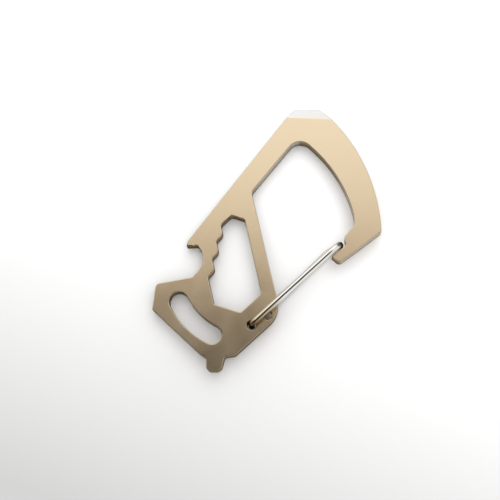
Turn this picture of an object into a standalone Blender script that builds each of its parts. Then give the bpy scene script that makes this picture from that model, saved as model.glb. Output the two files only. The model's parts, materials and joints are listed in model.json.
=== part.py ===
"""Keychain bottle opener: a stamped steel carabiner plate with a spring wire gate.

The plate lies flat in XY with its middle plane on Z = 0, and +Z is its upper face. +Y runs from the
driver tip towards the chisel edge. Lengths in the constants are millimetres, measured from the hole
that the gate's upper leg turns in, and angles are degrees from +X. A datum empty then carries every
piece, so that the world's origin is the centre of the whole object's bounding box.
"""

import math

import bmesh
import bpy
from mathutils import Euler, Vector

MM = 0.001
PARTS = "keychain_bottle_opener"
CUTTERS = "cutters"

BOX_CENTRE = (3.82, 21.42)

PLATE_THICKNESS = 2.5
CHORD_ERROR = 0.004
SHARP_ANGLE = math.radians(30)

# The plate's corners, clockwise from the chisel edge: x, y, corner radius.
OUTLINE = (
    (10.55, 54.15, 0.5),  # chisel edge, left end
    (16.75, 54.4, 1.0),  # chisel edge, right end
    (30.95, 42.02, 42.5),  # back of the hook, one long arc
    (32.57, 23.38, 0.9),  # heel of the hook
    (21.9, 15.41, 1.25),  # hook tip, outer corner
    (19.94, 17.1, 0.25),  # hook tip, inner corner
    (23.57, 20.0, 0.3),  # seat of the gate's nose
    (23.13, 22.05, 1.2),
    (25.68, 25.08, 1.0),
    (25.68, 26.88, 5.0),
    (22.82, 37.29, 34.0),  # inside of the hook, one long arc
    (11.8, 47.27, 3.4),  # top of the carabiner opening
    (0.0, 33.25, 1.5),  # spine meets strut
    (7.24, 2.71, 6.2),  # round shoulder beside the gate's pivots
    (-4.15, -7.6, 0.8),
    (-6.77, -8.0, 0.7),
    (-7.73, -11.55, 1.7),  # driver tip, right corner
    (-11.4, -11.55, 1.2),  # driver tip, left corner
    (-11.4, -8.4, 0.4),
    (-13.15, -7.15, 1.0),
    (-24.92, 3.88, 0.5),
    (-23.98, 10.33, 1.3),
    (-14.92, 11.97, 0.3),  # lower jaw of the cap lifter
    (-11.0, 16.2, 4.35),  # throat of the cap lifter
    (-13.6, 19.9, 0.4),
    (-16.32, 19.75, 0.2),  # claw of the cap lifter
    (-15.85, 21.2, 0.4),
)

# The hexagon window nests one regular hexagon for each nut against its straight right wall.
WINDOW_CORNER = (2.4, 7.85)  # lower end of the right wall
WINDOW_WALL_ANGLE = 102.57
NUT_CLEARANCE = 0.1
NUT_STEPS = ((12.0, 7.0), (10.0, 11.25), (8.0, 15.3), (6.0, 19.0))  # nut width, top of its flat
WINDOW_CORNER_RADII = (1.2, 0.9, 0.4)
STEP_RADIUS = 1.0
STEP_LIP_RADIUS = 1.6

# The strap slot follows an arc and has round ends.
SLOT_CENTRE = (-2.15, 13.75)
SLOT_RADIUS = 17.9
SLOT_WIDTH = 4.85
SLOT_ANGLES = (206.2, 244.0)

# The chisel edge is ground on both faces, from a base line to a thin blunt edge.
CHISEL_BASE = (14.15, 51.75)
CHISEL_BASE_ANGLE = -3.4
CHISEL_BEVEL_ANGLE = 21.0
GRINDER_SIZE = (30.0, 20.0, 10.0)

# The gate is one wire. Its legs straddle the plate and turn in two holes. The lower leg has a knee
# under the plate, and the lower half of the nose leans inwards, into the carabiner's opening.
WIRE_RADIUS = 0.8
WIRE_BEND_RADIUS = 1.2
PIVOT_HOLE_RADIUS = 1.15
UPPER_PIVOT = (0.0, 0.0)
LOWER_PIVOT = (3.95, 2.5)
LOWER_KNEE = (5.16, 5.46)
LEG_GAP = 0.25
NOSE_GAP = 0.3
PIN_DEPTH = 2.65
GATE_ANGLE = 42.4
GATE_REACH = 26.3  # upper pivot to the start of the nose bend
NOSE_LENGTH = 3.75
NOSE_LEAN = 1.25
GATE_SWING = 20.0  # degrees from shut to open
LOWER_LEG_RATIO = 0.2  # how far the lower leg turns against the upper one
HOLE_SEGMENTS = 32
BEND_STEPS = 8

LEG_HEIGHT = PLATE_THICKNESS / 2 + LEG_GAP + WIRE_RADIUS


def clear_scene():
    for obj in list(bpy.data.objects):
        bpy.data.objects.remove(obj, do_unlink=True)


def new_collection(name):
    collection = bpy.data.collections.new(name)
    bpy.context.scene.collection.children.link(collection)
    return collection


def link(obj, collection_name):
    bpy.data.collections[collection_name].objects.link(obj)
    return obj


def steel(name, color, roughness):
    material = bpy.data.materials.new(name)
    material.use_nodes = True
    shader = material.node_tree.nodes["Principled BSDF"]
    shader.inputs["Base Color"].default_value = (*color, 1.0)
    shader.inputs["Metallic"].default_value = 1.0
    shader.inputs["Roughness"].default_value = roughness
    return material


def polar(centre, radius, angle):
    """The point at this angle, in radians, on a circle."""
    return (centre[0] + radius * math.cos(angle), centre[1] + radius * math.sin(angle))


def arc(centre, radius, start, turn):
    """Points along an arc, with as many steps as CHORD_ERROR asks for."""
    step = 2 * math.acos(1 - min(CHORD_ERROR / radius, 0.5))
    count = max(2, math.ceil(abs(turn) / step))
    return [polar(centre, radius, start + turn * i / count) for i in range(count + 1)]


def rounded(corners):
    """A closed outline through the corners, each rounded to its own radius."""
    points = []
    reach = []
    for i, (x, y, radius) in enumerate(corners):
        here = Vector((x, y))
        before = (Vector(corners[i - 1][:2]) - here).normalized()
        after = (Vector(corners[(i + 1) % len(corners)][:2]) - here).normalized()
        half = before.angle(after) / 2
        reach.append(radius / math.tan(half))
        start = here + before * reach[-1]
        centre = here + (before + after).normalized() * radius / math.sin(half)
        from_centre = start - centre
        turn = (math.pi - 2 * half) * math.copysign(1, -before.cross(after))
        points += arc(centre, radius, math.atan2(from_centre.y, from_centre.x), turn)
    for i, used in enumerate(reach):
        side = math.dist(corners[i][:2], corners[i - 1][:2])
        if used + reach[i - 1] > side:
            raise ValueError(f"corner {i} is too round for the side before it")
    return points


def window_corners():
    """Corners of the nested hexagons. A step's top meets the next hexagon along a hexagon side."""
    up = math.radians(WINDOW_WALL_ANGLE)
    widths = [nut + NUT_CLEARANCE for nut, _ in NUT_STEPS]
    tops = [top for _, top in NUT_STEPS]
    rise = 1 / math.sqrt(3)
    first, last = widths[0], widths[-1]
    local = [
        (0.0, 0.0, WINDOW_CORNER_RADII[0]),
        (-rise * first / 2, first / 2, WINDOW_CORNER_RADII[1]),
        (0.0, first, WINDOW_CORNER_RADII[2]),
    ]
    for width, narrower, top in zip(widths, widths[1:], tops):
        local.append((top, width, STEP_RADIUS))
        local.append((top + rise * (width - narrower), narrower, STEP_LIP_RADIUS))
    local.append((tops[-1], last, STEP_RADIUS))
    local.append((tops[-1] + rise * last / 2, last / 2, STEP_RADIUS))
    local.append((tops[-1], 0.0, STEP_RADIUS))
    corners = []
    for along, across, radius in local:
        foot = polar(WINDOW_CORNER, along, up)
        corners.append((*polar(foot, across, up + math.pi / 2), radius))
    return corners


def slot_outline():
    start, end = (math.radians(angle) for angle in SLOT_ANGLES)
    half = SLOT_WIDTH / 2
    outer = arc(SLOT_CENTRE, SLOT_RADIUS + half, start, end - start)
    far_end = arc(polar(SLOT_CENTRE, SLOT_RADIUS, end), half, end, math.pi)
    inner = arc(SLOT_CENTRE, SLOT_RADIUS - half, end, start - end)
    near_end = arc(polar(SLOT_CENTRE, SLOT_RADIUS, start), half, start + math.pi, math.pi)
    return outer + far_end[1:-1] + inner + near_end[1:-1]


def hole_outline(centre):
    step = 2 * math.pi / HOLE_SEGMENTS
    return [polar(centre, PIVOT_HOLE_RADIUS, step * i) for i in range(HOLE_SEGMENTS)]


def without_repeats(points):
    """The outline without points that fall on the one before them."""
    return [p for i, p in enumerate(points) if math.dist(p, points[i - 1]) > CHORD_ERROR]


def flat_curve(name, outlines, thickness):
    """A flat sheet with its first outline as the edge and the others as openings."""
    curve = bpy.data.curves.new(name, "CURVE")
    curve.dimensions = "2D"
    curve.fill_mode = "BOTH"
    curve.extrude = thickness / 2 * MM
    for outline in outlines:
        outline = without_repeats(outline)
        spline = curve.splines.new("POLY")
        spline.points.add(len(outline) - 1)
        spline.use_cyclic_u = True
        for point, (x, y) in zip(spline.points, outline):
            point.co = (x * MM, y * MM, 0.0, 1.0)
    return bpy.data.objects.new(name, curve)


def as_mesh(obj, collection_name):
    """Replaces a curve object by a mesh object with its caps welded on."""
    link(obj, collection_name)
    bpy.context.view_layer.update()
    evaluated = obj.evaluated_get(bpy.context.evaluated_depsgraph_get())
    mesh = bpy.data.meshes.new_from_object(evaluated)
    work = bmesh.new()
    work.from_mesh(mesh)
    bmesh.ops.remove_doubles(work, verts=work.verts, dist=CHORD_ERROR / 4 * MM)
    bmesh.ops.recalc_face_normals(work, faces=work.faces)
    work.to_mesh(mesh)
    work.free()
    mesh.shade_smooth()
    mesh.set_sharp_from_angle(angle=SHARP_ANGLE)
    name = obj.name
    matrix = obj.matrix_world.copy()
    bpy.data.objects.remove(obj, do_unlink=True)
    solid = bpy.data.objects.new(name, mesh)
    solid.matrix_world = matrix
    return link(solid, collection_name)


def grinder(name, side):
    """A block whose inner face is one bevel of the chisel edge. Side is 1 above and -1 below."""
    length, depth, height = (size * MM for size in GRINDER_SIZE)
    mesh = bpy.data.meshes.new(name)
    block = bmesh.new()
    bmesh.ops.create_cube(block, size=1.0)
    bmesh.ops.scale(block, vec=(length, depth, height), verts=block.verts)
    bmesh.ops.translate(block, vec=(0, 0, side * height / 2), verts=block.verts)
    block.to_mesh(mesh)
    block.free()
    cutter = bpy.data.objects.new(name, mesh)
    x, y = CHISEL_BASE
    cutter.location = (x * MM, y * MM, side * PLATE_THICKNESS / 2 * MM)
    cutter.rotation_euler = Euler(
        (-side * math.radians(CHISEL_BEVEL_ANGLE), 0.0, math.radians(CHISEL_BASE_ANGLE))
    )
    cutter.hide_render = True
    cutter.display_type = "WIRE"
    return link(cutter, CUTTERS)


def cut(target, cutter):
    modifier = target.modifiers.new(cutter.name, "BOOLEAN")
    modifier.operation = "DIFFERENCE"
    modifier.solver = "EXACT"
    modifier.object = cutter


def body_plate():
    outlines = [
        rounded(OUTLINE),
        rounded(window_corners()),
        slot_outline(),
        hole_outline(UPPER_PIVOT),
        hole_outline(LOWER_PIVOT),
    ]
    plate = as_mesh(flat_curve("body_plate", outlines, PLATE_THICKNESS), PARTS)
    cut(plate, grinder("grinder_above", 1))
    cut(plate, grinder("grinder_below", -1))
    plate.data.materials.append(steel("satin_steel", (0.60, 0.52, 0.42), 0.38))
    return plate


def pin_bend(pivot, along, out):
    """The quarter turn from the pin, which stands on the pivot, to a leg along the plate."""
    centre = pivot + along * WIRE_BEND_RADIUS + out * (LEG_HEIGHT - WIRE_BEND_RADIUS)
    points = []
    for i in range(BEND_STEPS + 1):
        angle = math.pi / 2 * i / BEND_STEPS
        arm = out * math.sin(angle) - along * math.cos(angle)
        points.append(centre + arm * WIRE_BEND_RADIUS)
    return points


def half_nose(nose, along, out, lean):
    """Half of the nose bend, from the leg's end to the parting gap. It stands upright at the gap."""
    inwards = Vector((-along.y, along.x, 0))
    last = math.pi / 2 - math.asin(NOSE_GAP / 2 / LEG_HEIGHT)
    points = []
    for i in range(BEND_STEPS + 1):
        angle = last * i / BEND_STEPS
        arm = out * LEG_HEIGHT * math.cos(angle) + along * NOSE_LENGTH * math.sin(angle)
        points.append(nose + arm + inwards * lean * math.cos(angle) ** 2)
    return points


def leg_path(pivot, knees, nose, side, lean):
    """Pin, bend, leg through its knees and half of the nose. Side is 1 above the plate and -1 below."""
    out = Vector((0, 0, side))
    pin = Vector((*pivot, 0))
    nose = Vector((*nose, 0))
    heading = (nose - Vector((*UPPER_PIVOT, 0))).normalized()
    rest = [Vector((*knee, 0)) + out * LEG_HEIGHT for knee in knees]
    rest += half_nose(nose, heading, out, lean)
    along = rest[0] - pin
    along.z = 0
    pin_end = pin + out * (PLATE_THICKNESS / 2 + LEG_GAP - PIN_DEPTH)
    return [pin_end] + pin_bend(pin, along.normalized(), out) + rest


def wire(name, path, origin, material):
    """A round wire along the path, with its object's origin on the joint axis it turns about."""
    curve = bpy.data.curves.new(name, "CURVE")
    curve.dimensions = "3D"
    curve.bevel_depth = WIRE_RADIUS * MM
    curve.bevel_resolution = 2
    curve.use_fill_caps = True
    spline = curve.splines.new("POLY")
    spline.points.add(len(path) - 1)
    spline.use_smooth = True
    origin = Vector((*origin, 0))
    for point, place in zip(spline.points, path):
        point.co = (*((place - origin) * MM), 1.0)
    obj = bpy.data.objects.new(name, curve)
    obj.location = origin * MM
    curve.materials.append(material)
    return link(obj, PARTS)


def lower_leg_axis():
    """The point of the upper leg that the lower leg turns about, to stay centred in its own hole.

    The lower leg's end is centred with the gate shut and fully open, and within 0.1 mm between."""
    half = math.radians(GATE_SWING) / 2
    extra = LOWER_LEG_RATIO * half
    along = Vector(LOWER_PIVOT) - Vector(UPPER_PIVOT)
    reach = along.length * math.sin(half + extra) / math.sin(extra)
    return polar(UPPER_PIVOT, reach, math.atan2(along.y, along.x) - half)


def wire_gate():
    """The gate in two pieces, parted at the nose so that each leg turns in its own hole."""
    polished = steel("polished_steel", (0.78, 0.78, 0.77), 0.12)
    nose = polar(UPPER_PIVOT, GATE_REACH, math.radians(GATE_ANGLE))
    upper_path = leg_path(UPPER_PIVOT, [], nose, 1, 0.0)
    lower_path = leg_path(LOWER_PIVOT, [LOWER_KNEE], nose, -1, NOSE_LEAN)
    upper = wire("gate_wire_upper", upper_path, UPPER_PIVOT, polished)
    lower = wire("gate_wire_lower", lower_path, lower_leg_axis(), polished)
    lower.location -= upper.location
    lower.parent = upper


def centre_on_origin():
    datum = link(bpy.data.objects.new("datum", None), PARTS)
    x, y = BOX_CENTRE
    datum.location = (-x * MM, -y * MM, 0.0)
    for obj in bpy.data.objects:
        if obj is not datum and obj.parent is None:
            obj.parent = datum


def main():
    clear_scene()
    new_collection(PARTS)
    new_collection(CUTTERS)
    body_plate()
    wire_gate()
    centre_on_origin()


main()
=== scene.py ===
"""The looks of the keychain bottle opener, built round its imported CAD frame.

The plate is the CAD plate with its edges worn round, in satin steel. The gate is one polished wire that
bends between the two CAD legs. The stage is a pale floor under a soft light, seen from straight above.
Lengths named in the constants are millimetres unless their comment says otherwise.
"""

import json
import math

import bmesh
import bpy
from mathutils import Euler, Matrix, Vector


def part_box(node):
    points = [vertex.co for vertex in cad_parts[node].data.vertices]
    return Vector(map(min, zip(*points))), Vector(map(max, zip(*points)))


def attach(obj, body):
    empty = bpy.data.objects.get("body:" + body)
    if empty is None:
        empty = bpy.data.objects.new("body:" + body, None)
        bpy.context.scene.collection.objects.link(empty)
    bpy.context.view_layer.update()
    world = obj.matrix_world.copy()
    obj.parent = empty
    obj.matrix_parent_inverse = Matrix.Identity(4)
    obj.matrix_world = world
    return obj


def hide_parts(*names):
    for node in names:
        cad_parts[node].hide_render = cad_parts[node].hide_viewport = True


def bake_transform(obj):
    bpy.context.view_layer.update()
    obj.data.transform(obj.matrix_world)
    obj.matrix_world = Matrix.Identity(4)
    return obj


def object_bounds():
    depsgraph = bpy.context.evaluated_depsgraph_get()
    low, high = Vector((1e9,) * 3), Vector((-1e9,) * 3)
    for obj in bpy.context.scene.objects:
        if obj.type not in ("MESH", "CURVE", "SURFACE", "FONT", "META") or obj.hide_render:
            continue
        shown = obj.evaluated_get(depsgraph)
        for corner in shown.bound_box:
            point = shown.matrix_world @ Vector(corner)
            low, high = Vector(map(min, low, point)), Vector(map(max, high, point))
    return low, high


MM = 0.001

# The plate's shape. Its edges are worn round by tumbling. The rounding is wider than some edges are
# long, so it folds over itself at the tightest corners.
EDGE_ROUND = 0.22
EDGE_STEPS = 4
SHARP_EDGE = math.radians(14)
FLAT_ENOUGH = math.radians(0.5)
WELD = 0.001
CHISEL_TILT = (0.85, 0.97)  # the range of a ground facet's normal along Z

# The plate's steel. A tone is a share of the color that it darkens or lightens.
STEEL = (0.70, 0.58, 0.41)
BARE_STEEL = (0.70, 0.695, 0.685)
SATIN_ROUGHNESS = 0.24
FACE_GRAIN = 0.002
EDGE_GRAIN = 0.0015
EDGE_SHADE = (0.55, 0.93)  # the range of an edge's normal along Z where painted shade darkens it towards the wall
# The painted shade on the turned-down edges, as a tone of the steel, and its lighter, painted-lit tone towards the
# hook
EDGE_SHADE_TONE = 0.26
EDGE_LIT_TONE = 0.75
BARE_RIM = (30.0, 30.8)  # along Y, where the edges turn from satin to ground steel
WALL_SHEEN = 0.55
WALL_TONES = (0.28, 0.44)  # torn, burnished
# Painted light and shade on the walls and the turned-down edges: lighter in colour and reflections towards the
# hook, darker towards the driver tip and where they face the shade direction.
WALL_LIGHTER_TONES = (0.55, 0.95)
WALL_LIGHTER_COLOR = (0.66, 0.62, 0.55)
WALL_LIGHTER_DIRECTION = (0.94, 0.33, 0.0)
WALL_LIGHTER = (-3.0, 4.0)  # how far along that direction the walls turn lighter
WALL_SHADE_DIRECTION = (-0.45, -0.89, 0.0)
WALL_SHADE_FACING = (0.75, 0.92)  # how squarely a wall has to face that direction to get the painted shade
WALL_LIGHT_LEAST = 0.2
DRAG_TONE = 0.16
DRAG_SHARE = 0.35
TORN_EDGE = 0.15  # half the height over which torn steel turns into burnished
TORN_WANDER = 0.8
PIVOT_REACH = (1.4, 1.75)  # from a pivot hole's centre
# Painted shade: nearly black on the pivot holes' walls, in their colour and reflections
HOLE_SHADE_COLOR = (0.03, 0.022, 0.016, 1.0)

# The wire's shape. Its lower leg has a knee, placed from the upper pivot, and its nose leans inwards
# below. The lower leg's pin is peened out at its end.
WIRE_RADIUS = 0.8
WIRE_SIDES = 32
WIRE_CREASE = math.radians(50)
LOWER_KNEE = (5.16, 5.46)
KNEE_REACH = 0.8
KNEE_STEPS = 6
NOSE_LENGTH = 3.75
NOSE_LEAN = 1.25
NOSE_STEPS = 28
PIN_BEND_RADIUS = 1.2
PIN_BEND_STEPS = 10
PIN_SPREAD = 0.2
PIN_SPREAD_LENGTH = 0.5
CUT_END_ROUND = 0.22
CUT_END_STEPS = 4
SEAM_BEFORE_NOSE = 1.0

# The wire's steel, and its painted shade and reflections by distance along it from its pivot: dark where it goes
# into its hole and at the nose's end, warm over the plate, and stronger on the side that faces outwards.
WIRE_STEEL = (0.80, 0.79, 0.77)
WIRE_GLANCE_TONE = 0.4
WIRE_SHADE_WANDER = 0.4
WIRE_SHADE_ALONG = (
    (-0.1, (0.07, 0.045, 0.03)),
    (0.7, (0.55, 0.45, 0.30)),
    (1.8, (0.86, 0.76, 0.56)),
    (8.0, (0.97, 0.93, 0.82)),
    (12.0, (1.0, 1.0, 1.0)),
    (29.3, (0.95, 0.93, 0.88)),
    (30.3, (0.10, 0.085, 0.07)),
)
OUTER_WIRE_SHADE = (
    (0.2, (0.05, 0.035, 0.02)),
    (1.4, (0.30, 0.22, 0.13)),
    (6.5, (0.66, 0.58, 0.44)),
    (10.5, (1.0, 1.0, 1.0)),
    (29.3, (0.95, 0.93, 0.88)),
    (30.3, (0.10, 0.085, 0.07)),
)
OUTER_SIDE = (0.15, 0.5)  # how squarely the wire has to face outwards for the stronger painted shade and reflection
PEENED_FROM = (0.5, 0.8)  # the heights between which the lower pin's end is dull
PEENED_TO = (1.4, 1.3)
PEENED_COLOR = (0.50, 0.42, 0.30, 1.0)
PEENED_ROUGHNESS = 0.3

# The camera looks straight down, from beside the object, so its lens is shifted towards the object.
FIELD_WIDTH = 125.0  # at the plate's upper face
FIELD_CENTRE = (-4.22, -2.67)
CAMERA_FOOT = (10.78, -65.17)
CAMERA_HEIGHT = 208.0
SENSOR_WIDTH = 36.0

# The sky over the stage, by the slope of the direction looked in: its Y over its Z. Ahead is a bright
# window, overhead are the photographer's dim warm hands, and behind them a grey figure. To the right
# of the window is a dark corner. Matt things see an even dome instead.
SKY_AHEAD = (
    (0.05, (0.04, 0.035, 0.033)),
    (0.22, (0.04, 0.035, 0.032)),
    (0.27, (0.50, 0.41, 0.32)),
    (0.31, (1.15, 1.05, 0.93)),
    (0.42, (1.42, 1.41, 1.40)),
)
HANDS_NEAR = (-0.8, -0.45)
HANDS_SIDE = (0.5, 0.8)
FIGURE_NEAR = (-2.2, -1.4)
FIGURE_TOP = (0.3, 0.1)
FIGURE_COLOR = (0.22, 0.21, 0.21)
SKY_COLOR = (0.97, 0.965, 0.96)
CORNER_RIGHT = (1.1, 1.7)
CORNER_AHEAD = (0.9, 1.4)
CORNER_COLOR = (0.22, 0.22, 0.20)
DOME_COLOR = (1.08, 1.075, 1.07)

KEY_ANGLE = math.radians(60)
KEY_STRENGTH = 1.0
KEY_DIRECTION = (0.2, 0.5, 1.0)

# The object leans on the gate's lower leg, so the floor rises away from the gate. It rises less steeply
# than a table would that the object rests on, and the plate's far edges stand a little clear of it.
FLOOR_SIZE = 4.0  # metres
FLOOR_GAP = 0.1
FLOOR_SLOPE = 0.054
FLOOR_SHADE_DIRECTION = (-0.35, -0.94, 0.0)
FLOOR_SHADE = (-10.0, 80.0)
FLOOR_SHADE_DEPTH = 0.45
FLOOR_SHADE_REACH = (90.0, 160.0)
CARD_TONES = (0.895, 0.91)


# --- small helpers for shader nodes ---


class Nodes:
    """Short calls for the nodes of one tree. A value can be a number or another node's output."""

    def __init__(self, tree):
        self.tree = tree

    def node(self, kind, inputs, output=0, **settings):
        made = self.tree.nodes.new(kind)
        for key, value in settings.items():
            setattr(made, key, value)
        for key, value in inputs.items():
            if isinstance(value, bpy.types.NodeSocket):
                self.tree.links.new(value, made.inputs[key])
            else:
                made.inputs[key].default_value = value
        return made.outputs[output]

    def between(self, value, source, target, **settings):
        """value, mapped from the source range to the target range."""
        inputs = {"Value": value, 1: source[0], 2: source[1], 3: target[0], 4: target[1]}
        return self.node("ShaderNodeMapRange", inputs, **settings)

    def soft_step(self, value, edge):
        """0 to 1 as value crosses the edge. A falling pair makes it 1 below and 0 above."""
        if edge[0] < edge[1]:
            return self.between(value, edge, (0.0, 1.0), interpolation_type="SMOOTHSTEP")
        return self.between(value, edge[::-1], (1.0, 0.0), interpolation_type="SMOOTHSTEP")

    def mix(self, factor, first, second):
        inputs = {0: factor, 6: first, 7: second}
        return self.node("ShaderNodeMix", inputs, output=2, data_type="RGBA")

    def ramp(self, value, stops):
        """A color from stops of (value, color), with the first and last held outside them."""
        low, high = stops[0][0], stops[-1][0]
        made = self.tree.nodes.new("ShaderNodeValToRGB")
        self.tree.links.new(self.between(value, (low, high), (0.0, 1.0)), made.inputs[0])
        elements = made.color_ramp.elements
        while len(elements) < len(stops):
            elements.new(1.0)
        for element, (place, color) in zip(elements, stops):
            element.position = (place - low) / (high - low)
            element.color = rgba(color)
        return made.outputs[0]

    def math(self, operation, first, second):
        return self.node("ShaderNodeMath", {0: first, 1: second}, operation=operation)

    def vector(self, operation, first, second, output="Value"):
        inputs = {0: first, 1: second}
        return self.node("ShaderNodeVectorMath", inputs, output=output, operation=operation)

    def part(self, vector, axis):
        """One coordinate of a vector: axis is 0, 1 or 2."""
        return self.node("ShaderNodeSeparateXYZ", {"Vector": vector}, output=axis)


class Shader(Nodes):
    """A material with one Principled BSDF."""

    def __init__(self, name, metallic=1.0):
        self.material = bpy.data.materials.new(name)
        self.material.use_nodes = True
        super().__init__(self.material.node_tree)
        self.bsdf = self.tree.nodes["Principled BSDF"]
        self.bsdf.inputs["Metallic"].default_value = metallic
        self.coords = self.node("ShaderNodeTexCoord", {}, output="Object")

    def normal(self):
        return self.node("ShaderNodeTexCoord", {}, output="Normal")

    def set(self, name, value):
        if isinstance(value, bpy.types.NodeSocket):
            self.tree.links.new(value, self.bsdf.inputs[name])
        else:
            self.bsdf.inputs[name].default_value = value

    def stretched(self, scale, turn=0.0):
        """Object coordinates in cycles per millimetre along each axis, after a turn about Z."""
        turned = self.node("ShaderNodeMapping", {"Vector": self.coords, "Rotation": (0, 0, -turn)})
        per_metre = tuple(s / MM for s in scale)
        return self.node("ShaderNodeMapping", {"Vector": turned, "Scale": per_metre})

    def noise(self, scale, detail=2.0, rough=0.5, turn=0.0):
        vector = self.stretched(scale, turn)
        inputs = {"Vector": vector, "Scale": 1.0, "Detail": detail, "Roughness": rough}
        return self.node("ShaderNodeTexNoise", inputs)

    def bump(self, height, depth, strength=1.0, base=None):
        inputs = {"Height": height, "Distance": depth * MM, "Strength": strength}
        if base is not None:
            inputs["Normal"] = base
        return self.node("ShaderNodeBump", inputs)


def rgba(color, share=1.0):
    return (*[c * share for c in color], 1.0)


# --- materials ---


def scratches(shader, turn, width):
    """1 on a few hair lines in one direction, and 0 elsewhere."""
    lines = shader.noise((5.0, 0.07, 5.0), detail=1.0, turn=turn)
    off_middle = shader.math("ABSOLUTE", shader.math("SUBTRACT", lines, 0.62), 0.0)
    return shader.between(off_middle, (0.0, width), (1.0, 0.0))


def wall_light(shader):
    """Painted light: 1 towards the hook, and near 0, a painted shade, towards the driver tip and on walls that
    face the shade direction.
    """
    along = shader.vector("DOT_PRODUCT", shader.coords, WALL_LIGHTER_DIRECTION)
    lighter = shader.soft_step(along, [d * MM for d in WALL_LIGHTER])
    lighter = shader.between(lighter, (0.0, 1.0), (WALL_LIGHT_LEAST, 1.0))
    facing = shader.vector("DOT_PRODUCT", shader.normal(), WALL_SHADE_DIRECTION)
    dull = shader.soft_step(facing, WALL_SHADE_FACING)
    dull = shader.between(dull, (0.0, 1.0), (1.0, WALL_LIGHT_LEAST))
    return shader.math("MULTIPLY", lighter, dull)


def near_pivot_holes(shader, holes):
    """1 in and around the pivot holes, and 0 away from them."""
    flat = shader.vector("MULTIPLY", shader.coords, (1.0, 1.0, 0.0), output=0)
    in_hole = 0.0
    for hole in holes:
        distance = shader.vector("DISTANCE", flat, hole)
        near = shader.soft_step(distance, [d * MM for d in PIVOT_REACH[::-1]])
        in_hole = shader.math("MAXIMUM", in_hole, near)
    return in_hole


def satin_steel(name, color, roughness, grain_depth, shade_below=None):
    """Tumbled steel: a fine even grain, faint clouds and a few hair scratches.

    With shade_below it also darkens in colour and reflections as it turns down, a painted shade that is lighter
    towards the hook, and is bare next to the ground facets."""
    shader = Shader(name)
    clouds = shader.noise((0.12, 0.12, 0.12), detail=3.0)
    grain = shader.noise((7.0, 7.0, 7.0), detail=3.0, rough=0.7)
    tone = shader.math("ADD", shader.between(clouds, (0.3, 0.7), (0.0, 0.6)),
                       shader.between(grain, (0.3, 0.7), (0.0, 0.4)))
    clean = shader.mix(tone, rgba(color, 0.91), rgba(color, 1.07))
    if shade_below is not None:
        # Painted shade: the edge darkens in colour and reflections as it turns down towards the wall, less so
        # towards the hook.
        z = shader.part(shader.normal(), 2)
        open_up = shader.soft_step(shader.math("ABSOLUTE", z, 0.0), shade_below)
        lighter = rgba(WALL_LIGHTER_COLOR, EDGE_LIT_TONE)
        turned = shader.mix(wall_light(shader), rgba(color, EDGE_SHADE_TONE), lighter)
        clean = shader.mix(open_up, turned, clean)
        y = shader.part(shader.coords, 1)
        bare = shader.soft_step(y, [d * MM for d in BARE_RIM])
        clean = shader.mix(bare, clean, rgba(BARE_STEEL))
        glance = shader.mix(open_up, rgba(color, WALL_SHEEN), (1.0, 1.0, 1.0, 1.0))
        shader.set("Specular Tint", glance)
    shader.set("Base Color", clean)
    hairs = shader.math("ADD", scratches(shader, 0.6, 0.006), scratches(shader, 2.1, 0.005))
    rough = shader.between(clouds, (0.3, 0.7), (roughness - 0.03, roughness + 0.03))
    rough = shader.math("SUBTRACT", rough, shader.math("MULTIPLY", hairs, 0.05))
    shader.set("Roughness", rough)
    fine = shader.bump(grain, grain_depth)
    shader.set("Normal", shader.bump(hairs, -0.0006, base=fine))
    return shader.material


def sheared_steel(name, color, holes):
    """The punched walls: upright drag lines, brighter on the upper half, which the punch burnished."""
    shader = Shader(name)
    drag = shader.noise((5.0, 5.0, 0.25), detail=4.0, rough=0.65)
    z = shader.part(shader.coords, 2)
    # Painted light and shade: lighter in colour and reflections towards the hook, darker towards the driver tip
    # and on walls facing the shade direction.
    far = wall_light(shader)
    torn = shader.noise((1.3, 1.3, 0.6), detail=2.0)
    wander = shader.math("MULTIPLY", shader.math("SUBTRACT", torn, 0.5), TORN_WANDER * MM)
    edge = shader.math("ADD", z, wander)
    burnish = shader.between(edge, (-TORN_EDGE * MM, TORN_EDGE * MM), (0.0, 1.0))
    near_tone = shader.mix(burnish, *[rgba(color, tone) for tone in WALL_TONES])
    far_tone = shader.mix(burnish, *[rgba(WALL_LIGHTER_COLOR, tone) for tone in WALL_LIGHTER_TONES])
    tone = shader.mix(far, near_tone, far_tone)
    dragged = shader.between(drag, (0.3, 0.7), (0.0, DRAG_SHARE))
    dragged = shader.mix(dragged, tone, rgba(color, DRAG_TONE))
    # Painted shade inside the pivot holes, in colour and reflections.
    in_hole = near_pivot_holes(shader, holes)
    shader.set("Base Color", shader.mix(in_hole, dragged, HOLE_SHADE_COLOR))
    sheen = shader.mix(far, rgba(color, WALL_SHEEN), rgba(WALL_LIGHTER_COLOR, 1.0))
    shader.set("Specular Tint", shader.mix(in_hole, sheen, HOLE_SHADE_COLOR))
    rough = shader.between(burnish, (0.0, 1.0), (0.5, 0.3))
    shader.set("Roughness", rough)
    shader.set("Normal", shader.bump(drag, 0.02))
    return shader.material


def ground_steel(name, color):
    """The ground facets of the chisel: bare steel with fine lines across the edge."""
    shader = Shader(name)
    lines = shader.noise((9.0, 0.35, 0.9), detail=3.0, rough=0.6, turn=math.radians(-4))
    shader.set("Base Color", shader.mix(lines, rgba(color, 0.93), rgba(color, 1.04)))
    shader.set("Roughness", shader.between(lines, (0.3, 0.7), (0.26, 0.4)))
    shader.set("Normal", shader.bump(lines, 0.004))
    return shader.material


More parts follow.
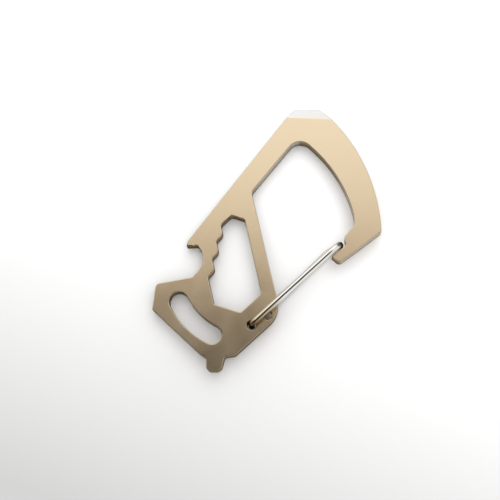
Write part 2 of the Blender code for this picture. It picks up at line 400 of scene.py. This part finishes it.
def polished_wire(name, color, heading, pivot, lower_pivot):
    """Bright drawn wire with faint lines along it, with painted shade and reflections near its pivot and at the
    nose's end, and peened at one end.
    """
    shader = Shader(name)
    lines = shader.noise((0.15, 9.0, 9.0), detail=2.0, turn=heading)
    clouds = shader.noise((0.5, 0.5, 0.5), detail=2.0)
    clean = shader.mix(clouds, rgba(color, 0.94), rgba(color, 1.04))
    offset = shader.vector("SUBTRACT", shader.coords, pivot, output=0)
    along = shader.vector("DOT_PRODUCT", offset, (math.cos(heading), math.sin(heading), 0.0))
    wander = shader.math("MULTIPLY", clouds, WIRE_SHADE_WANDER * MM)
    patchy = shader.math("ADD", along, wander)
    # Painted shade and painted reflections, by distance along the wire from its pivot.
    tints = [shader.ramp(patchy, [(reach * MM, tint) for reach, tint in stops])
             for stops in (WIRE_SHADE_ALONG, OUTER_WIRE_SHADE)]
    outwards = (math.sin(heading), -math.cos(heading), 0.0)
    facing = shader.vector("DOT_PRODUCT", shader.normal(), outwards)
    wire_shade = shader.mix(shader.soft_step(facing, OUTER_SIDE), *tints)
    bright = shader.node("ShaderNodeMix", {0: 1.0, 6: clean, 7: wire_shade}, output=2,
                         data_type="RGBA", blend_type="MULTIPLY")
    z = shader.part(shader.coords, 2)
    above = shader.soft_step(z, [d * MM for d in PEENED_FROM])
    below = shader.soft_step(z, [d * MM for d in PEENED_TO])
    inside = shader.math("MULTIPLY", above, below)
    peened = shader.math("MULTIPLY", inside, near_pivot_holes(shader, [lower_pivot]))
    shader.set("Base Color", shader.mix(peened, bright, PEENED_COLOR))
    shader.set("Specular Tint", rgba(color, WIRE_GLANCE_TONE))
    smooth = shader.between(lines, (0.3, 0.7), (0.05, 0.11))
    dull = shader.math("MULTIPLY", peened, PEENED_ROUGHNESS)
    shader.set("Roughness", shader.math("ADD", smooth, dull))
    shader.set("Normal", shader.bump(lines, 0.001))
    return shader.material


def paper_floor(name):
    """Matt pale card, a little darker away from the light."""
    shader = Shader(name, metallic=0.0)
    fibre = shader.noise((1.5, 1.5, 1.5), detail=4.0)
    card = shader.mix(fibre, *[rgba((tone, tone, tone)) for tone in CARD_TONES])
    away = shader.vector("DOT_PRODUCT", shader.coords, FLOOR_SHADE_DIRECTION)
    shade = shader.between(away, [d * MM for d in FLOOR_SHADE], (0.0, FLOOR_SHADE_DEPTH))
    inputs = {0: shader.coords}
    distance = shader.node("ShaderNodeVectorMath", inputs, output="Value", operation="LENGTH")
    reach = shader.soft_step(distance, [d * MM for d in FLOOR_SHADE_REACH[::-1]])
    shade = shader.math("MULTIPLY", shade, reach)
    shader.set("Base Color", shader.mix(shade, card, rgba((0.0, 0.0, 0.0))))
    shader.set("Roughness", 0.9)
    shader.set("Specular IOR Level", 0.1)
    shader.set("Normal", shader.bump(fibre, 0.01))
    return shader.material


# --- the plate ---


def plate_piece(node, materials):
    """A copy of the CAD plate with worn edges. Materials: face, worn edge with painted shade, punched wall with
    painted light and shade, ground facet.
    """
    face, rim, wall, facet = range(4)
    work = bmesh.new()
    work.from_mesh(node.data)
    bmesh.ops.remove_doubles(work, verts=work.verts, dist=WELD * MM)
    bmesh.ops.dissolve_limit(work, angle_limit=FLAT_ENOUGH, verts=work.verts, edges=work.edges)
    for f in work.faces:
        tilt = abs(f.normal.z)
        f.smooth = True
        if tilt < CHISEL_TILT[0]:
            f.material_index = wall
        elif tilt < CHISEL_TILT[1]:
            f.material_index = facet
        else:
            f.material_index = face
    sharp = [e for e in work.edges if e.calc_face_angle(0.0) > SHARP_EDGE]
    bmesh.ops.bevel(
        work, geom=sharp, offset=EDGE_ROUND * MM, segments=EDGE_STEPS, profile=0.5,
        affect="EDGES", clamp_overlap=False, material=rim, loop_slide=True,
        face_strength_mode="ALL",
    )
    for f in work.faces:
        f.smooth = True
    mesh = bpy.data.meshes.new("plate")
    work.to_mesh(mesh)
    work.free()
    for material in materials:
        mesh.materials.append(material)
    plate = bpy.data.objects.new("plate", mesh)
    bpy.context.collection.objects.link(plate)
    level = plate.modifiers.new("flat_faces_stay_flat", "WEIGHTED_NORMAL")
    level.use_face_influence = True
    level.weight = 100
    return plate


# --- the wire gate ---


def gate_layout():
    """From the frame: the two holes' centres, the nose's centre, the legs' height and the pins' depth.

    The lower leg's joint isn't at its hole, so the hole is worked out from the joint's place."""
    pivots = {j["name"]: Vector(j["pos_m"]) for j in frame["joints"]}
    behaviour = frame["record"]["behaviour"]
    swing = next(j for j in behaviour["joints"] if j["name"] == "gate_swing")["range_deg"][1]
    half = math.radians(swing) / 2
    extra = half * behaviour["couplings"][0]["ratio"]
    upper = pivots["gate_swing"]
    arm = pivots["gate_lower_turn"] - upper
    arm.rotate(Euler((0, 0, half)))
    lower = upper + arm * math.sin(extra) / math.sin(half + extra)
    low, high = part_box("gate_wire_upper")
    height = high.z - WIRE_RADIUS * MM
    flat = [Vector((v.co.x, v.co.y, 0)) for v in frame["nodes"]["gate_wire_upper"].data.vertices]
    tip = max(flat, key=lambda p: (p - upper).length) - upper
    nose = upper + tip.normalized() * (tip.length - (WIRE_RADIUS + NOSE_LENGTH) * MM)
    return upper, lower, nose, height, abs(low.z)


def side_of(forward, inwards):
    """The direction square to the wire that is nearest to inwards."""
    return (inwards - forward * inwards.dot(forward)).normalized()


def pin_stations(pivot, along, height, pin_end, up, spread):
    """Centre points, directions, side vectors and radii, from the pin's cut end round its bend."""
    across = Vector((-along.y, along.x, 0))
    stations = []
    for i in range(CUT_END_STEPS + 1):
        angle = math.pi / 2 * i / CUT_END_STEPS
        rise = CUT_END_ROUND * MM * (1 - math.cos(angle))
        radius = (WIRE_RADIUS + spread - CUT_END_ROUND * (1 - math.sin(angle))) * MM
        stations.append((pivot - up * (pin_end - rise), up, across, radius))
    if spread:
        neck = pivot - up * (pin_end - PIN_SPREAD_LENGTH * MM)
        stations.append((neck, up, across, WIRE_RADIUS * MM))
    bend = PIN_BEND_RADIUS * MM
    centre = pivot + along * bend + up * (height - bend)
    for i in range(PIN_BEND_STEPS + 1):
        angle = math.pi / 2 * i / PIN_BEND_STEPS
        point = centre - along * bend * math.cos(angle) + up * bend * math.sin(angle)
        forward = along * math.sin(angle) + up * math.cos(angle)
        stations.append((point, forward, across, WIRE_RADIUS * MM))
    return stations


def leg_stations(pivot, corners, height, pin_end, side, spread=0.0):
    """Stations from the pin's cut end, through a knee at each corner, to the last corner."""
    up = Vector((0, 0, side))
    places = [pivot] + corners
    ways = [(after - before).normalized() for before, after in zip(places, places[1:])]
    stations = pin_stations(pivot, ways[0], height, pin_end, up, spread)
    reach = KNEE_REACH * MM
    for corner, before, after in zip(corners, ways, ways[1:]):
        for i in range(KNEE_STEPS + 1):
            share = i / KNEE_STEPS
            along = before.lerp(after, share).normalized()
            point = corner - before * reach * (1 - share) ** 2 + after * reach * share**2
            across = Vector((-along.y, along.x, 0))
            stations.append((point + up * height, along, across, WIRE_RADIUS * MM))
    across = Vector((-ways[-1].y, ways[-1].x, 0))
    stations.append((corners[-1] + up * height, ways[-1], across, WIRE_RADIUS * MM))
    return stations


def nose_stations(nose, height, along):
    """The turn from the upper leg to the lower one. Its lower half leans inwards."""
    inwards = Vector((-along.y, along.x, 0))
    length = NOSE_LENGTH * MM
    stations = []
    for i in range(NOSE_STEPS + 1):
        turn = math.pi * i / NOSE_STEPS
        sine, cosine = math.sin(turn), math.cos(turn)
        lean = NOSE_LEAN * MM if cosine < 0 else 0.0
        arm = along * length * sine + inwards * lean * cosine**2
        point = nose + arm + Vector((0, 0, height * cosine))
        forward = along * length * cosine - inwards * lean * 2 * sine * cosine
        forward = (forward - Vector((0, 0, height * sine))).normalized()
        stations.append((point, forward, side_of(forward, inwards), WIRE_RADIUS * MM))
    return stations


def swept(name, stations, material):
    """A closed round bar through the stations."""
    work = bmesh.new()
    rings = []
    for point, forward, across, radius in stations:
        third = forward.cross(across)
        ring = []
        for k in range(WIRE_SIDES):
            angle = 2 * math.pi * k / WIRE_SIDES
            arm = across * math.cos(angle) + third * math.sin(angle)
            ring.append(work.verts.new(point + arm * radius))
        rings.append(ring)
    for near, far in zip(rings, rings[1:]):
        for k in range(WIRE_SIDES):
            after = (k + 1) % WIRE_SIDES
            work.faces.new((near[k], near[after], far[after], far[k])).smooth = True
    work.faces.new(rings[0][::-1])
    work.faces.new(rings[-1])
    bmesh.ops.recalc_face_normals(work, faces=work.faces)
    mesh = bpy.data.meshes.new(name)
    work.to_mesh(mesh)
    work.free()
    mesh.set_sharp_from_angle(angle=WIRE_CREASE)
    mesh.materials.append(material)
    bar = bpy.data.objects.new(name, mesh)
    bpy.context.collection.objects.link(bar)
    return bar


def gate_pieces():
    """The wire in two pieces: the upper leg, attached to the gate's upper body, and the rest, the nose and the
    lower leg, attached to none.
    """
    upper, lower, nose, height, pin_end = gate_layout()
    along = (nose - upper).normalized()
    inwards = Vector((-along.y, along.x, 0))
    heading = math.atan2(along.y, along.x)
    wire = polished_wire("polished_wire", WIRE_STEEL, heading, upper, lower)
    knee = upper + Vector((*LOWER_KNEE, 0)) * MM
    low_end = nose + inwards * NOSE_LEAN * MM
    top_leg = leg_stations(upper, [nose - along * SEAM_BEFORE_NOSE * MM], height, pin_end, 1)
    low_leg = leg_stations(lower, [knee, low_end], height, pin_end, -1, PIN_SPREAD)
    back = [(point, -forward, across, radius) for point, forward, across, radius in reversed(low_leg)]
    top = swept("gate_wire_upper_leg", top_leg, wire)
    turn = nose_stations(nose, height, along)
    rest = swept("gate_wire_nose_and_lower_leg", top_leg[-1:] + turn + back[1:], wire)
    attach(top, "gate_upper")
    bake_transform(rest)
    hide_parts("gate_wire_upper")
    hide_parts("gate_wire_lower")


# --- the stage ---


def floor_piece():
    """A large sheet under the object, level along the gate and rising away from it."""
    upper, _, nose, _, _ = gate_layout()
    along = (nose - upper).normalized()
    inwards = Vector((-along.y, along.x, 0))
    work = bmesh.new()
    bmesh.ops.create_grid(work, x_segments=1, y_segments=1, size=FLOOR_SIZE / 2)
    mesh = bpy.data.meshes.new("floor")
    work.to_mesh(mesh)
    work.free()
    mesh.materials.append(paper_floor("pale_card"))
    floor = bpy.data.objects.new("floor", mesh)
    height = cad_box[0].z - FLOOR_GAP * MM - FLOOR_SLOPE * inwards.dot(upper)
    floor.location = (0, 0, height)
    floor.rotation_mode = "QUATERNION"
    normal = Vector((0, 0, 1)) - inwards * FLOOR_SLOPE
    floor.rotation_quaternion = Vector((0, 0, 1)).rotation_difference(normal)
    bpy.context.collection.objects.link(floor)


def sky():
    """The studio's surroundings, as reflections see them. The camera sees only a plain pale backdrop."""
    world = bpy.data.worlds.new("studio_sky")
    bpy.context.scene.world = world
    world.use_nodes = True
    nodes = Nodes(world.node_tree)
    direction = nodes.node("ShaderNodeTexCoord", {}, output="Generated")
    x, y, z = (nodes.node("ShaderNodeSeparateXYZ", {"Vector": direction}, output=i) for i in range(3))
    height = nodes.math("MAXIMUM", z, 0.001)
    right = nodes.math("DIVIDE", x, height)
    across = nodes.math("ABSOLUTE", right, 0.0)
    ahead = nodes.math("DIVIDE", y, height)
    color = nodes.ramp(ahead, SKY_AHEAD)
    near = nodes.soft_step(ahead, HANDS_NEAR)
    hands = nodes.math("MULTIPLY", near, nodes.soft_step(across, HANDS_SIDE[::-1]))
    behind = nodes.soft_step(ahead, FIGURE_NEAR)
    figure = nodes.math("MULTIPLY", behind, nodes.soft_step(ahead, FIGURE_TOP))
    figure = nodes.math("MULTIPLY", figure, nodes.soft_step(right, HANDS_SIDE[::-1]))
    around = nodes.mix(figure, rgba(SKY_COLOR), rgba(FIGURE_COLOR))
    beside = nodes.soft_step(right, CORNER_RIGHT)
    corner = nodes.math("MULTIPLY", beside, nodes.soft_step(ahead, CORNER_AHEAD))
    around = nodes.mix(corner, around, rgba(CORNER_COLOR))
    studio = nodes.mix(hands, around, color)
    for ray, color in (("Is Diffuse Ray", DOME_COLOR), ("Is Camera Ray", SKY_COLOR)):
        seen = nodes.node("ShaderNodeLightPath", {}, output=ray)
        studio = nodes.mix(seen, studio, rgba(color))
    world.node_tree.links.new(studio, world.node_tree.nodes["Background"].inputs["Color"])


def key_light():
    light = bpy.data.lights.new("key", "SUN")
    light.angle = KEY_ANGLE
    light.energy = KEY_STRENGTH
    lamp = bpy.data.objects.new("key", light)
    lamp.rotation_mode = "QUATERNION"
    lamp.rotation_quaternion = Vector(KEY_DIRECTION).to_track_quat("Z", "Y")
    lamp.visible_glossy = False
    bpy.context.collection.objects.link(lamp)


def camera(face_height):
    """Straight down, with the lens shifted towards the object. The shift is only for this high place."""
    data = bpy.data.cameras.new("camera")
    data.sensor_width = SENSOR_WIDTH
    data.lens = SENSOR_WIDTH * CAMERA_HEIGHT / FIELD_WIDTH
    eye = bpy.data.objects.new("camera", data)
    eye.location = (CAMERA_FOOT[0] * MM, CAMERA_FOOT[1] * MM, face_height + CAMERA_HEIGHT * MM)
    bpy.context.collection.objects.link(eye)
    bpy.context.scene.camera = eye
    for channel, middle, foot in zip(("shift_x", "shift_y"), FIELD_CENTRE, CAMERA_FOOT):
        shift = (middle - foot) / FIELD_WIDTH
        driver = data.driver_add(channel).driver
        height = driver.variables.new()
        height.name = "height"
        height.type = "TRANSFORMS"
        height.targets[0].id = eye
        height.targets[0].transform_type = "LOC_Z"
        driver.expression = f"{shift:.4f} if height > {0.95 * CAMERA_HEIGHT * MM:.4f} else 0.0"


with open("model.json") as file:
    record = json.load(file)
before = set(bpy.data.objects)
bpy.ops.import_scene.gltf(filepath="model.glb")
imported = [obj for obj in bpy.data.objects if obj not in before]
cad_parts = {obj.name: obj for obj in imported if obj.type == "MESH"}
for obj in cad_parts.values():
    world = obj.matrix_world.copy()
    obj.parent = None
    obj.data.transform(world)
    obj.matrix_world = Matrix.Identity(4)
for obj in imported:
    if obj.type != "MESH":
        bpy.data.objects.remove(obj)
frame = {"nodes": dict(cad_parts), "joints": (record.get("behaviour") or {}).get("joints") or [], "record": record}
cad_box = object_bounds()

holes = gate_layout()[:2]
plate = plate_piece(
    frame["nodes"]["body_plate"],
    [
        satin_steel("satin_steel", STEEL, SATIN_ROUGHNESS, FACE_GRAIN),
        # The edges' material paints shade on them as they turn down.
        satin_steel("worn_edge_and_shade", STEEL, SATIN_ROUGHNESS, EDGE_GRAIN, shade_below=EDGE_SHADE),
        sheared_steel("punched_wall", STEEL, holes),
        ground_steel("ground_facet", BARE_STEEL),
    ],
)
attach(plate, "plate")
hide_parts("body_plate")
gate_pieces()

floor_piece()
sky()
key_light()
camera(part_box("body_plate")[1].z)
bpy.context.scene.view_settings.view_transform = "Standard"
